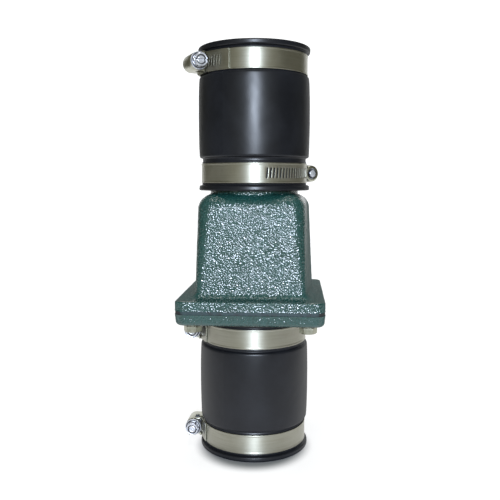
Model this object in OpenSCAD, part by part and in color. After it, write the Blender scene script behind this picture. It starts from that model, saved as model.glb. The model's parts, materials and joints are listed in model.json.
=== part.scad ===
// Two-inch swing check valve for a vertical discharge pipe: a square cast chamber with a rubber flap
// on an inlet flange, and a rubber sleeve with two worm-drive band clamps at each end.
// +Z runs with the flow. The origin is the centre of the inlet sleeve's open end.

/* [Pipe and sleeves] */
// Outside diameter of the pipe that the sleeves grip
pipe_d = 60.3; // [50:0.1:73]
// Length of each rubber sleeve
sleeve_l = 94.4; // [79:0.1:120]
// Rubber wall of the barrel, the thick middle of a sleeve
barrel_wall = 7.8; // [6.5:0.1:9]
// Rubber wall in the seat under a clamp band
seat_wall = 5.15; // [4:0.05:6]
// Rubber wall of the bead at each end
bead_wall = 7.6; // [6:0.1:9]
// Length of the bead at each end
bead_l = 3.4; // [2:0.1:5]
// How far the outlet sleeve's barrel is moulded off centre, towards its free end
barrel_shift = 1.3; // [0:0.1:1.5]
// Gap between the chamber's top and the outlet sleeve
sleeve_gap = 2; // [0.5:0.1:3]
// Width of the stop ring in the middle of a sleeve's bore
stop_w = 3; // [2:0.5:5]
// How far the stop ring stands into the bore
stop_h = 1.7; // [1:0.1:3]

/* [Casting] */
// Iron wall of the two spigots that the sleeves push onto
spigot_wall = 4.75; // [3.5:0.05:6]
// Iron wall of the chamber
chamber_wall = 4.5; // [3.5:0.1:5.5]
// Height of the chamber above the flange
chamber_h = 67.2; // [58:0.1:90]
// How far the chamber's top reaches past the pipe, measured at the front and back corners
chamber_margin = 4.15; // [2.5:0.05:8]
// How much further out the two sides bulge at mid depth, where the mould halves met
belly = 3.4; // [0.5:0.1:5]
// How much that bulge grows from the top to the foot
belly_flare = 1.2; // [0:0.1:2]
// How much deeper than wide the chamber is, on the front and on the back
chamber_deeper = 1.75; // [0:0.05:5]
// How far each wall leans out from the top to the foot
chamber_flare = 1.4; // [1:0.1:5]
// Radius of the chamber's shoulder and of its corners at the top
shoulder_r = 10; // [7:0.5:12]
// Radius of the chamber's corners at the foot
foot_r = 4; // [3:0.5:6]
// Fillet between the chamber and its flange
foot_fillet = 4.5; // [1:0.5:5]
// How far the flange reaches past the corners of the chamber's foot on the left and right
lip_x = 12.3; // [11:0.1:20]
// How far the flange reaches past the chamber's foot at the front and back
lip_y = 13.5; // [11:0.1:20]
// Radius of the flange corners
flange_r = 6; // [3:0.5:8]
// Thickness of the chamber's flange
upper_flange_t = 6.2; // [5:0.1:9]
// Thickness of the inlet flange
lower_flange_t = 7.4; // [5:0.1:9]
// How far the inlet flange draws in towards its underside
flange_draft = 0.4; // [0.2:0.1:1.5]
// Rounding of the inlet flange's lower edge
flange_round = 3; // [1:0.5:3]

/* [Flange bolts] */
// Bolt diameter
bolt_d = 6; // [5:0.05:8]
// Width across the flats of the bolt head
bolt_af = 10; // [9:0.1:13]
// Height of the bolt head
bolt_head_h = 4; // [3:0.1:6]
// Distance from the flange edge to the bolt's centre
bolt_inset = 10.8; // [8:0.1:12]
// How far the bolt reaches into the chamber's flange
bolt_bite = 4.6; // [3:0.1:5]
// Thickness of the lock washer
washer_t = 1.2; // [1:0.1:2.5]

/* [Flap] */
// Thickness of the rubber sheet that is gasket and flap in one
sheet_t = 2.4; // [1.6:0.1:3.2]
// How far the flap laps over the port on every side
flap_lap = 3.2; // [2:0.1:3.5]
// Width of the slit cut between the flap and the gasket
slit_w = 1.4; // [0.8:0.1:1.8]
// Width of the tongue that hinges the flap
tongue_w = 26; // [18:1:30]
// Diameter of the iron weight on top of the flap
weight_d = 40; // [30:1:42]
// Thickness of the weight
weight_t = 4; // [3:0.5:6]
// Diameter of the steel plate under the flap
retainer_d = 38; // [30:1:42]
// Thickness of the plate under the flap
retainer_t = 1.6; // [1:0.1:2.5]
// Diameter of the screw that holds the flap between the two
flap_screw_d = 6.35; // [5:0.05:8]
// Diameter of that screw's round head
flap_head_d = 12; // [9:0.5:14]
// Height of that screw's round head
flap_head_h = 2.5; // [2:0.1:4]
// Height of its nut
flap_nut_h = 5.5; // [4:0.1:7]

/* [Band clamps] */
// Width of the steel band
band_w = 12.7; // [9:0.1:14]
// Thickness of the steel band
band_t = 0.65; // [0.5:0.05:0.9]
// Height of the raised edge along the band
band_edge = 0.2; // [0.1:0.05:0.3]
// Distance from one slot to the next
slot_pitch = 2.35; // [2:0.05:3]
// Width of a slot
slot_w = 1.15; // [0.8:0.05:1.4]
// Length of a slot across the band
slot_h = 6.8; // [5:0.1:8]
// Lean of the slots
slot_lean = 5; // [0:1:8]
// Angle round the band that the slots cover before the screw
slot_run = 107; // [60:1:120]
// Outside diameter of the worm thread
worm_d = 9.2; // [7:0.1:9.6]
// Depth of the worm thread
worm_depth = 1; // [0.6:0.1:1.4]
// Length of the housing along the screw
housing_l = 16.2; // [14:0.2:20]
// Sheet thickness of the housing
housing_t = 0.9; // [0.6:0.05:1.1]
// Length of the strap that holds the housing on the band
strap_l = 13; // [10:0.2:14]
// How far the collar under the screw's head stands out past the worm
collar_lip = 1; // [0.5:0.1:1.5]
// Thickness of that collar
collar_t = 1.2; // [0.8:0.1:2]
// Width across the flats of the screw's head
screw_af = 7.94; // [7:0.01:9]
// Height of the screw's head
screw_head_h = 4.2; // [3:0.1:6]

/* [Hidden] */
$fn = 96;
HULL_FN = 32;
THREAD_FN = 16;
CUT = 1;
SKIN = 0.01;
grip_fit = 0.05;
bolt_fit = 0.25;
tap_fit = 0.03;
running_fit = 0.06;
rubber_fit = 0.1;
sheet_fit = 0.1;
worm_gap = 0.3;
hinge_gap = 0.3;
knuckle_fit = 0.1;

pipe_r = pipe_d / 2;
bore_r = pipe_r + grip_fit;
port_r = pipe_r - spigot_wall;
seat_r = bore_r + seat_wall;
barrel_r = bore_r + barrel_wall;
bead_r = bore_r + bead_wall;
bead_round = 0.8;
barrel_round = 1.2;
bead_slope = 0.6;
barrel_slope = 0.4;
stop_chamfer = 0.5;

// The seat of a band has room for the clamp's housing beside the band.
seat_inner = 1.8;
seat_outer = 2.55;
seat_l = seat_inner + band_w + seat_outer;
band_inset = bead_l + seat_inner + band_w / 2;

spigot_gap = 0.5;
spigot_l = (sleeve_l - stop_w) / 2 - spigot_gap;

// Heights of the faces, from the inlet end up
flange_z = sleeve_l;
sheet_z = flange_z + lower_flange_t;
upper_z = sheet_z + sheet_t;
foot_z = upper_z + upper_flange_t;
chamber_z = foot_z + chamber_h;
outlet_z = chamber_z + sleeve_gap;
sheet_mid_z = sheet_z + sheet_t / 2;

top_x = pipe_r + chamber_margin;
top_y = top_x + chamber_deeper;
foot_x = top_x + chamber_flare;
foot_y = top_y + chamber_flare;
foot_belly = belly + belly_flare;
flange_x = foot_x + lip_x;
flange_y = foot_y + lip_y;
shoulder_z = chamber_z - shoulder_r;
edge_round = 1;

bolt_x = flange_x - bolt_inset;
bolt_y = flange_y - bolt_inset;
bolt_l = lower_flange_t + sheet_t + bolt_bite;
washer_r = bolt_af / 2 + 0.3;
tap_run = 0.3;
gasket_setback = 0.3;

flap_r = port_r + flap_lap;
hinge_y = flap_r + slit_w;
flap_nut_af = 11.1;
flap_stem = 1.5;
flap_slot_h = 1;
flap_head_taper = 1.5;
weight_edge = 1;

// Radii and places of one clamp, whose screw lies on its own +X side
band_ri = seat_r + grip_fit;
band_ro = band_ri + band_t;
saddle_x = band_ro + sheet_fit;
strip_x = saddle_x + housing_t + sheet_fit;
lid_x = strip_x + band_t + sheet_fit;
worm_r = worm_d / 2;
screw_x = strip_x + band_t + worm_gap + worm_r;
cavity_r = worm_r + worm_gap;
hood_r = cavity_r + housing_t;
hood_round = 1.6;
post_t = 0.7;
end_wall = 0.8;
channel_w = band_w + 2 * sheet_fit;
channel_x = strip_x - sheet_fit;

// The strip is flat from y = -strip_tip to y = strip_head, where it drops to pass under the collar.
strip_tip = housing_l / 2 + 0.5;
strip_head = housing_l / 2 - 2.6;
tail_gap = 0.2;
tail_ri = band_ro + tail_gap;
fixed_end_az = 10;
slot_step = slot_pitch / band_ro * 180 / PI;
slot_margin_az = 2;
slot_clear_az = atan(strip_tip / strip_x) + slot_margin_az;

collar_gap = 0.15;
collar_r = worm_r + collar_lip;
neck_r = worm_r - worm_depth - 0.1;
pilot_r = neck_r - 0.7;
screw_slot = 1;
screw_slot_h = 1.7;
dimple_r = screw_af / 2 - 1.2;
dimple_h = 0.4;

// Each clamp: height of its middle, azimuth of its screw, and how far round its tail lies
OUTLET_PIPE = [outlet_z + sleeve_l - band_inset, 208, 40];
OUTLET_VALVE = [outlet_z + band_inset, 33, 40];
INLET_VALVE = [flange_z - band_inset, 182, 29];
INLET_PIPE = [band_inset, 178, 29];

PAINT = [0.20, 0.36, 0.33];
RUBBER = [0.10, 0.10, 0.11];
STEEL = [0.72, 0.71, 0.68];
IRON = [0.35, 0.34, 0.33];

// Points on an arc, from angle a to angle b in n steps
function arc(cx, cy, r, a, b, n) =
    [for (i = [0:n]) [cx + r * cos(a + (b - a) * i / n), cy + r * sin(a + (b - a) * i / n)]];

module at_corners(x, y) {
    for (sx = [-1, 1], sy = [-1, 1]) translate([sx * x, sy * y, 0]) children();
}

// A rectangle of half sizes x and y with true round corners
module plate_2d(x, y, r) {
    at_corners(x - r, y - r) circle(r);
    square([2 * x, 2 * (y - r)], center = true);
    square([2 * (x - r), 2 * y], center = true);
}

module at_bolts() {
    at_corners(bolt_x, bolt_y) children();
}

// The four corners of a plan of half sizes x and y, and the middles of its two bulging sides
module at_plan(x, y, bulge) {
    at_corners(x, y) children();
    if (bulge > 0) for (s = [-1, 1]) translate([s * (x + bulge), 0, 0]) children();
}

// A frustum between two plates with rounded corners
module frustum(x0, y0, r0, z0, x1, y1, r1, z1, bulge = 0) {
    hull() {
        translate([0, 0, z0]) at_plan(x0 - r0, y0 - r0, bulge) cylinder(r = r0, h = SKIN, $fn = HULL_FN);
        translate([0, 0, z1 - SKIN]) at_plan(x1 - r1, y1 - r1, bulge) cylinder(r = r1, h = SKIN, $fn = HULL_FN);
    }
}

// The chamber's form, drawn in by the wall: rounded corners at the foot, a ball at each shoulder,
// and draft from mid depth to the front and to the back
module chamber_form(wall, z0) {
    hull() {
        translate([0, 0, z0]) at_plan(foot_x - foot_r - wall, foot_y - foot_r - wall, foot_belly)
            cylinder(r = foot_r, h = SKIN, $fn = HULL_FN);
        translate([0, 0, shoulder_z]) at_plan(top_x - shoulder_r, top_y - shoulder_r, belly)
            sphere(r = shoulder_r - wall, $fn = HULL_FN);
    }
}

// How far a hollow fillet of radius r stands out at height h
function fillet_out(r, h) = r - sqrt(r * r - (r - h) * (r - h));

module foot_fillet_ring() {
    heights = [0, foot_fillet * 0.1, foot_fillet * 0.35, foot_fillet];
    for (i = [0:2]) {
        out = fillet_out(foot_fillet, heights[i]);
        next = fillet_out(foot_fillet, heights[i + 1]);
        frustum(foot_x + out, foot_y + out, foot_r + out, foot_z + heights[i],
            foot_x + next, foot_y + next, foot_r + next, foot_z + heights[i + 1], foot_belly);
    }
}

module valve_body() color(PAINT) {
    difference() {
        union() {
            translate([0, 0, upper_z]) linear_extrude(upper_flange_t - edge_round)
                plate_2d(flange_x, flange_y, flange_r);
            frustum(flange_x, flange_y, flange_r, foot_z - edge_round,
                flange_x - edge_round, flange_y - edge_round, flange_r - edge_round, foot_z);
            foot_fillet_ring();
            chamber_form(0, foot_z - CUT);
            translate([0, 0, shoulder_z]) cylinder(r = pipe_r, h = outlet_z - shoulder_z + spigot_l);
        }
        chamber_form(chamber_wall, upper_z - CUT);
        translate([0, 0, shoulder_z - shoulder_r])
            cylinder(r = port_r, h = outlet_z - shoulder_z + shoulder_r + spigot_l + CUT);
        translate([0, 0, upper_z - CUT]) at_bolts() cylinder(r = bolt_d / 2 + tap_fit, h = bolt_bite + tap_run + CUT);
    }
}

module inlet_flange() color(PAINT) {
    x = flange_x - flange_draft;
    y = flange_y - flange_draft;
    difference() {
        union() {
            for (a = [0:30:60]) {
                in = flange_round * (1 - sin(a));
                next = flange_round * (1 - sin(a + 30));
                frustum(x - in, y - in, flange_r - in, flange_z + flange_round * (1 - cos(a)),
                    x - next, y - next, flange_r - next, flange_z + flange_round * (1 - cos(a + 30)));
            }
            frustum(x, y, flange_r, flange_z + flange_round, flange_x, flange_y, flange_r, sheet_z);
            translate([0, 0, flange_z - spigot_l]) cylinder(r = pipe_r, h = spigot_l + CUT);
        }
        translate([0, 0, flange_z - spigot_l - CUT]) cylinder(r = port_r, h = spigot_l + lower_flange_t + 2 * CUT);
        translate([0, 0, flange_z - CUT]) at_bolts() cylinder(r = bolt_d / 2 + bolt_fit, h = lower_flange_t + 2 * CUT);
    }
}

// The tongue runs from the flap's disc to the hinge line.
module tongue_2d(clear) {
    translate([-tongue_w / 2 - clear, 0]) square([tongue_w + 2 * clear, hinge_y + clear]);
}

module gasket() color(RUBBER) {
    translate([0, 0, sheet_z]) linear_extrude(sheet_t) difference() {
        plate_2d(flange_x - gasket_setback, flange_y - gasket_setback, flange_r);
        circle(flap_r + slit_w);
        translate([0, sheet_t / 2 + hinge_gap - slit_w]) tongue_2d(slit_w);
        at_bolts() circle(bolt_d / 2 + bolt_fit);
    }
}

module flap() color(RUBBER) {
    difference() {
        union() {
            translate([0, 0, sheet_z]) linear_extrude(sheet_t) {
                circle(flap_r);
                tongue_2d(0);
            }
            translate([0, hinge_y, sheet_mid_z]) rotate([0, 90, 0])
                cylinder(d = sheet_t - knuckle_fit, h = tongue_w, center = true);
        }
        translate([0, 0, sheet_z - CUT]) cylinder(r = flap_screw_d / 2 + bolt_fit, h = sheet_t + 2 * CUT);
    }
}

module flap_weight() color(IRON) {
    r = weight_d / 2;
    translate([0, 0, upper_z]) difference() {
        rotate_extrude() polygon([[0, 0], [r, 0], [r, weight_t - weight_edge],
            [r - weight_edge, weight_t], [0, weight_t]]);
        translate([0, 0, -CUT]) cylinder(r = flap_screw_d / 2 + bolt_fit, h = weight_t + 2 * CUT);
    }
}

module flap_retainer() color(STEEL) {
    translate([0, 0, sheet_z - retainer_t]) linear_extrude(retainer_t) difference() {
        circle(retainer_d / 2);
        circle(flap_screw_d / 2 + bolt_fit);
    }
}

module flap_screw() color(STEEL) {
    stem = retainer_t + sheet_t + weight_t + flap_nut_h + flap_stem;
    translate([0, 0, sheet_z - retainer_t]) {
        cylinder(d = flap_screw_d, h = stem);
        difference() {
            translate([0, 0, -flap_head_h])
                cylinder(r1 = flap_head_d / 2 - flap_head_taper, r2 = flap_head_d / 2, h = flap_head_h);
            translate([-flap_head_d, -screw_slot / 2, -flap_head_h - CUT])
                cube([2 * flap_head_d, screw_slot, CUT + flap_slot_h]);
        }
    }
}

// A hexagon of width af across its flats, with its corners turned off at 30 degrees at the top
module hex_head(af, h) {
    intersection() {
        cylinder(r = af / sqrt(3), h = h, $fn = 6);
        cylinder(r1 = af / 2 + h / tan(30), r2 = af / 2, h = h);
    }
}

module flap_nut() color(STEEL) {
    translate([0, 0, upper_z + weight_t]) difference() {
        hex_head(flap_nut_af, flap_nut_h);
        translate([0, 0, -CUT]) cylinder(r = flap_screw_d / 2 + tap_fit, h = flap_nut_h + 2 * CUT);
    }
}

module flange_bolts() color(STEEL) {
    translate([0, 0, flange_z - washer_t]) at_bolts() {
        cylinder(d = bolt_d, h = washer_t + bolt_l);
        mirror([0, 0, 1]) hex_head(bolt_af, bolt_head_h);
    }
}

module bolt_washers() color(STEEL) {
    translate([0, 0, flange_z - washer_t]) at_bolts() linear_extrude(washer_t) difference() {
        circle(washer_r);
        circle(bolt_d / 2 + bolt_fit);
    }
}

// Half of a sleeve's outside, from the bead at z = 0 up to z = end, with the barrel starting at z = start
function sleeve_side(start, end) = concat(
    arc(bead_r - bead_round, bead_round, bead_round, -90, 0, 3),
    arc(bead_r - bead_round, bead_l - bead_round, bead_round, 0, 60, 3),
    [[seat_r, bead_l + bead_slope], [seat_r, start - barrel_slope]],
    arc(barrel_r - barrel_round, start + barrel_round, barrel_round, -75, 0, 3),
    [[barrel_r, end]]);

module sleeve(shift) {
    start = bead_l + seat_l;
    lower = sleeve_side(start + shift, sleeve_l / 2);
    upper = sleeve_side(start - shift, sleeve_l / 2);
    stop_z = (sleeve_l - stop_w) / 2;
    outside = concat([for (p = lower) p], [for (i = [len(upper) - 2:-1:0]) [upper[i][0], sleeve_l - upper[i][1]]]);
    inside = [[bore_r, sleeve_l], [bore_r, stop_z + stop_w], [bore_r - stop_h, stop_z + stop_w - stop_chamfer],
        [bore_r - stop_h, stop_z + stop_chamfer], [bore_r, stop_z], [bore_r, 0]];
    rotate_extrude() polygon(concat(outside, inside));
}

module outlet_sleeve() color(RUBBER) {
    translate([0, 0, outlet_z]) sleeve(barrel_shift);
}

module inlet_sleeve() color(RUBBER) {
    sleeve(0);
}

module clamp_at(clamp) {
    translate([0, 0, clamp[0]]) rotate([0, 0, clamp[1]]) children();
}

// The part of a flat ring from azimuth a round to azimuth b
module ring_2d(ri, ro, a, b) {
    difference() {
        circle(ro);
        circle(ri);
        far = 2 * ro;
        steps = 4;
        gap = 360 - (b - a);
        polygon(concat([[0, 0]], [for (i = [0:steps])
            far * [cos(b + gap * i / steps), sin(b + gap * i / steps)]]));
    }
}

// Azimuth at which a straight ramp from the flat's end at y comes down on the round of radius ri
function landing_az(ri, y) = atan(y / strip_x) + acos(ri / norm([strip_x, y]));

// The straight run of strip from the round of inside radius ri up to the flat in the housing
module ramp_2d(ri, y, side) {
    az = landing_az(ri, y);
    tangent = [cos(az), side * sin(az)];
    half = [cos(az / 2), side * sin(az / 2)];
    bend = [strip_x, side * y];
    polygon([ri * tangent, bend, bend + [band_t, 0], bend + band_t / cos(az / 2) * half,
        (ri + band_t) * tangent]);
}

// The strip seen along the valve's axis. Its fixed end lies under the housing; it runs once round,
// rises on the screw's tip side, passes flat under the worm and lies on itself as the tail.
module strip_2d(tail) {
    ring_2d(band_ri, band_ro, -fixed_end_az, 360 - landing_az(band_ri, strip_tip) + SKIN);
    ramp_2d(band_ri, strip_tip, -1);
    translate([strip_x, -strip_tip]) square([band_t, strip_tip + strip_head]);
    ramp_2d(tail_ri, strip_head, 1);
    ring_2d(tail_ri, tail_ri + band_t, landing_az(tail_ri, strip_head) - SKIN, tail);
}

module slot_cut(r, az) {
    rotate([0, 0, az]) translate([r, 0, 0]) rotate([slot_lean, 0, 0])
        translate([0, -slot_w / 2, -slot_h / 2]) cube([3 * housing_t + 2 * CUT, slot_w, slot_h]);
}

// The raised edges run from beyond the tail round to where the strip starts to rise.
module band_edges(tail) {
    edge_w = 0.9;
    margin_az = 3;
    from = tail + margin_az;
    to = 360 - landing_az(band_ri, strip_tip) - margin_az;
    for (s = [-1, 1]) translate([0, 0, s * (band_w - edge_w) / 2]) rotate([0, 0, from])
        rotate_extrude(angle = to - from) translate([band_ro - band_t / 2, -edge_w / 2])
            square([band_t / 2 + band_edge, edge_w]);
}

module clamp_band(clamp) color(STEEL) clamp_at(clamp) {
    tail = clamp[2];
    difference() {
        union() {
            translate([0, 0, -band_w / 2]) linear_extrude(band_w) strip_2d(tail);
            band_edges(tail);
        }
        for (az = [-slot_run:slot_step:-slot_clear_az]) slot_cut(band_ri - CUT, az);
        for (az = [slot_clear_az:slot_step:tail - slot_step]) slot_cut(band_ro + tail_gap / 2, az);
    }
}

module along_screw(l) {
    rotate([90, 0, 0]) linear_extrude(l, center = true) children();
}

// The housing's round hood over the worm, with drawn-in ends
module hood_form() {
    half = housing_l / 2;
    side_r = hood_r - hood_round;
    rotate([-90, 0, 0]) rotate_extrude() polygon(concat([[0, -half]],
        arc(side_r, hood_round - half, hood_round, -90, 0, 4),
        arc(side_r, half - hood_round, hood_round, 0, 90, 4), [[0, half]]));
}

// The strap reaches over the strip and down both edges of the band to the rubber.
module strap_form() {
    foot = channel_w / 2 + post_t;
    low_x = seat_r - 2;
    difference() {
        translate([low_x, 0, 0]) rotate([0, 90, 0]) linear_extrude(lid_x + post_t - low_x)
            plate_2d(foot, strap_l / 2, hood_round);
        cylinder(r = seat_r + rubber_fit, h = 4 * foot, center = true);
        cylinder(r = saddle_x, h = channel_w, center = true);
    }
}

module clamp_housing(clamp) color(STEEL) clamp_at(clamp) {
    cheek_l = housing_l - 2 * hood_round;
    window_x = lid_x + housing_t;
    window_margin = 1.2;
    window_top = 0.5;
    nose_r = worm_r - 0.8;
    difference() {
        union() {
            translate([screw_x, 0, 0]) hood_form();
            along_screw(cheek_l) translate([lid_x, -hood_r]) square([screw_x - lid_x, 2 * hood_r]);
            strap_form();
        }
        along_screw(housing_l + 2 * CUT) translate([channel_x, -channel_w / 2])
            square([lid_x - channel_x, channel_w]);
        // The saddle stops short of the head's end, where the strip's tail drops away.
        translate([saddle_x - 2 * housing_t, strip_head - sheet_fit, -channel_w / 2])
            cube([3 * housing_t + CUT, housing_l, channel_w]);
        along_screw(housing_l - 2 * end_wall) {
            translate([screw_x, 0]) circle(cavity_r);
            translate([lid_x - sheet_fit, -cavity_r]) square([screw_x - lid_x + sheet_fit, 2 * cavity_r]);
        }
        translate([screw_x, 0, 0]) rotate([-90, 0, 0]) {
            cylinder(r = neck_r + running_fit, h = housing_l);
            translate([0, 0, -housing_l]) cylinder(r = nose_r, h = housing_l);
        }
        // The sides are open beside the worm, on the half nearer the screw's head.
        translate([window_x, -end_wall, -2 * hood_r])
            cube([screw_x - window_x - window_top, cheek_l / 2 + end_wall - window_margin, 4 * hood_r]);
    }
}

// The screw stands on its tip here, and clamp_screw lays it along the housing.
module screw_form() {
    half = housing_l / 2;
    tip_clear = 1.2;
    neck_l = 2.4;
    pilot_out = 0.8;
    steps_per_turn = 12;
    thread_from = tip_clear - half;
    thread_to = half - neck_l;
    thread_l = thread_to - thread_from;
    turns = thread_l / slot_pitch;
    eccentric = worm_depth / 2;
    collar_z = half + collar_gap;
    head_z = collar_z + collar_t;
    top_z = head_z + screw_head_h;
    translate([0, 0, thread_from])
        linear_extrude(thread_l, twist = -360 * turns, slices = round(turns * steps_per_turn), $fn = THREAD_FN)
            translate([eccentric, 0]) circle(worm_r - eccentric);
    translate([0, 0, -half - pilot_out]) cylinder(r = pilot_r, h = half);
    translate([0, 0, thread_to - CUT]) cylinder(r = neck_r, h = collar_z - thread_to + 2 * CUT);
    translate([0, 0, collar_z]) cylinder(r = collar_r, h = collar_t);
    difference() {
        translate([0, 0, head_z]) hex_head(screw_af, screw_head_h);
        translate([0, 0, top_z - dimple_h]) cylinder(r = dimple_r, h = dimple_h + CUT);
        translate([-collar_r, -screw_slot / 2, top_z - screw_slot_h])
            cube([2 * collar_r, screw_slot, screw_slot_h + CUT]);
    }
}

module clamp_screw(clamp) color(STEEL) clamp_at(clamp) {
    translate([screw_x, 0, 0]) rotate([-90, 0, 0]) screw_form();
}

valve_body();
inlet_flange();
gasket();
flap();
flap_weight();
flap_retainer();
flap_screw();
flap_nut();
flange_bolts();
bolt_washers();
outlet_sleeve();
inlet_sleeve();
clamp_band(OUTLET_PIPE);  // outlet_pipe_band
clamp_housing(OUTLET_PIPE);  // outlet_pipe_housing
clamp_screw(OUTLET_PIPE);  // outlet_pipe_screw
clamp_band(OUTLET_VALVE);  // outlet_valve_band
clamp_housing(OUTLET_VALVE);  // outlet_valve_housing
clamp_screw(OUTLET_VALVE);  // outlet_valve_screw
clamp_band(INLET_VALVE);  // inlet_valve_band
clamp_housing(INLET_VALVE);  // inlet_valve_housing
clamp_screw(INLET_VALVE);  // inlet_valve_screw
clamp_band(INLET_PIPE);  // inlet_pipe_band
clamp_housing(INLET_PIPE);  // inlet_pipe_housing
clamp_screw(INLET_PIPE);  // inlet_pipe_screw
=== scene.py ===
# %% [markdown]
# # A non-return valve, drawn around its construction model
# The valve stands in a discharge pipe and lets water through one way only. Its working parts are already
# modelled at their real size: a cast chamber, a flange, a rubber flap, two rubber sleeves and four clamps.
# This script gives every one of them the surface of the real piece: sand-cast iron under enamel, moulded
# rubber, rolled and slotted stainless strip. It starts by loading that model as a fixed frame.

# %% Load the construction model
import json
import math

import bmesh
import bpy
import numpy as np
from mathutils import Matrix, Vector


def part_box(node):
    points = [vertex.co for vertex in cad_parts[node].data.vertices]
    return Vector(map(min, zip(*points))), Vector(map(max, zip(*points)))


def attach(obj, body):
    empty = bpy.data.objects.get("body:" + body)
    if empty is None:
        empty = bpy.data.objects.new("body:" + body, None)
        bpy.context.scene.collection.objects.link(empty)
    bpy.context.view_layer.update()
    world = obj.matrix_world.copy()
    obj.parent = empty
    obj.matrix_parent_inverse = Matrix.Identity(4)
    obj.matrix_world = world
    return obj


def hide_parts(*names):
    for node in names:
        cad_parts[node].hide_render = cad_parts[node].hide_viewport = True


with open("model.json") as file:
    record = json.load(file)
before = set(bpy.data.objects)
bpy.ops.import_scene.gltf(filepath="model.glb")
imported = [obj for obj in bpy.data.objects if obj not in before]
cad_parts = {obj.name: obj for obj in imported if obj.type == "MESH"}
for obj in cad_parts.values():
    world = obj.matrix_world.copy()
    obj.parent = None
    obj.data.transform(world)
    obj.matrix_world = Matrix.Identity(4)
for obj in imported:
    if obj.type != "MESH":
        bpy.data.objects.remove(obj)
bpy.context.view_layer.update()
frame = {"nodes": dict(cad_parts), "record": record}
print("construction model:", len(frame["nodes"]), "nodes")

# %% [markdown]
# The valve's lengths are written in millimetres, as on a drawing, and turned to metres when a mesh is made;
# only the camera, the paper and the lamps are placed in metres. A size that a construction node's box shows
# is read from the frame. The others, such as a shoulder's radius, are repeated by name where they are used.

# %% Sizes from the frame, and those of the castings that a box can't show
MM = 0.001


def box_mm(node):
    """Lowest and highest corner of a construction node, in millimetres."""
    low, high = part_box(node)
    return np.array(low) / MM, np.array(high) / MM


body_low, body_high = box_mm("valve_body")
flange_low, flange_high = box_mm("inlet_flange")
sleeve_low = box_mm("outlet_sleeve")[0]
gasket_high = box_mm("gasket")[1]

PIPE_R = 30.15
PORT_R = 25.4
BORE_R = 30.2
SHOULDER_R = 10.0
FOOT_R = 4.0
FLANGE_R = 6.0
CHAMBER_WALL = 4.5
UPPER_FLANGE = 6.2
top_half = np.array([34.3, 36.05])
foot_half = np.array([35.7, 37.45])
TOP_BELLY = 3.4
FOOT_BELLY = 4.6
flange_half = body_high[:2]
foot_z = body_low[2] + UPPER_FLANGE
CHAMBER_TOP = sleeve_low[2] - 2.0
shoulder_z = CHAMBER_TOP - SHOULDER_R
print("chamber from", foot_z, "to", CHAMBER_TOP)

# %% [markdown]
# A cast or moulded form is easiest as a grid of points: one direction runs round the part, the other runs
# along its outline. Both are worked out as whole arrays, and neighbours in the grid become four-sided faces.
# Where the grid closes on itself, the last row or column joins the first, so that nothing is left open.

# %% From a grid of points to a mesh


def placed(name, data):
    """A new object in the scene, at the origin."""
    made = bpy.data.objects.new(name, data)
    bpy.context.scene.collection.objects.link(made)
    return made


def make_object(name, points, faces, caps=(), sharp=40, lay=None):
    """A mesh object with smooth faces, and sharp edges where two faces meet at more than sharp degrees.
    lay holds two lengths for each point, kept as a UV map in metres, for patterns along the surface."""
    mesh = bpy.data.meshes.new(name)
    all_faces = np.asarray(faces).tolist() + [list(cap) for cap in caps]
    mesh.from_pydata(np.asarray(points, float) * MM, [], all_faces)
    mesh.shade_smooth()
    if lay is not None:
        corners = np.empty(len(mesh.loops), int)
        mesh.loops.foreach_get("vertex_index", corners)
        mesh.uv_layers.new(name="lay").data.foreach_set("uv", (np.asarray(lay)[corners] * MM).ravel())
    mesh.set_sharp_from_angle(angle=math.radians(sharp))
    return placed(name, mesh)


def angles(columns):
    """The angles of a grid's columns, evenly round the axis."""
    return np.arange(columns) / columns * 2 * math.pi


def carried_round(r, z, turn):
    """Points of a turned grid: x = r cos(turn), y = r sin(turn), at height z."""
    return np.stack([r * np.cos(turn), r * np.sin(turn), np.broadcast_to(z, r.shape)], -1)


def grid_faces(rows, columns, closed_rows=False, closed_columns=False):
    """Corner numbers of the quads between rows i and i + 1 and columns j and j + 1 of a grid of points.
    The points are stored row by row, so point (i, j) has the number i * columns + j."""
    i, j = np.meshgrid(np.arange(rows if closed_rows else rows - 1),
                       np.arange(columns if closed_columns else columns - 1), indexing="ij")
    down, right = (i + 1) % rows, (j + 1) % columns
    corners = [i * columns + j, i * columns + right, down * columns + right, down * columns + j]
    return np.stack(corners, -1).reshape(-1, 4)


def grid_normals(points):
    """Directions square to a grid closed both ways, from the cross product of the steps to its neighbours.
    They point outward where the grid's rows run upward on its outside, and inward where they run down."""
    along = np.roll(points, -1, 0) - np.roll(points, 1, 0)
    round_ = np.roll(points, -1, 1) - np.roll(points, 1, 1)
    normal = np.cross(round_, along)
    return normal / np.maximum(np.linalg.norm(normal, axis=-1, keepdims=True), 1e-9)


# %% [markdown]
# Nothing that was poured or moulded is perfectly even. A smooth random field gives the small departures:
# random values sit on a cubic lattice, and a point between them takes a smooth blend of the eight around it.

# %% A smooth random field
LATTICE = 48
field_values = np.random.default_rng(11).uniform(-1, 1, (LATTICE, LATTICE, LATTICE))


def wander(points, size):
    """Values from -1 to 1 that change smoothly over about one size, in millimetres, at any set of points."""
    q = points / size + 100.0
    cell = np.floor(q).astype(int)
    f = q - cell
    f = f * f * (3 - 2 * f)
    total = 0.0
    for corner in np.ndindex(2, 2, 2):
        at = (cell + corner) % LATTICE
        share = np.prod(np.where(np.array(corner) == 1, f, 1 - f), axis=-1)
        total = total + share * field_values[at[..., 0], at[..., 1], at[..., 2]]
    return total


# %% [markdown]
# The camera stands where the photographer stood: 44 cm in front of the valve's axis, a little above its
# middle, and turned by 4 degrees, because the valve wasn't set quite square to the lens.

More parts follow.
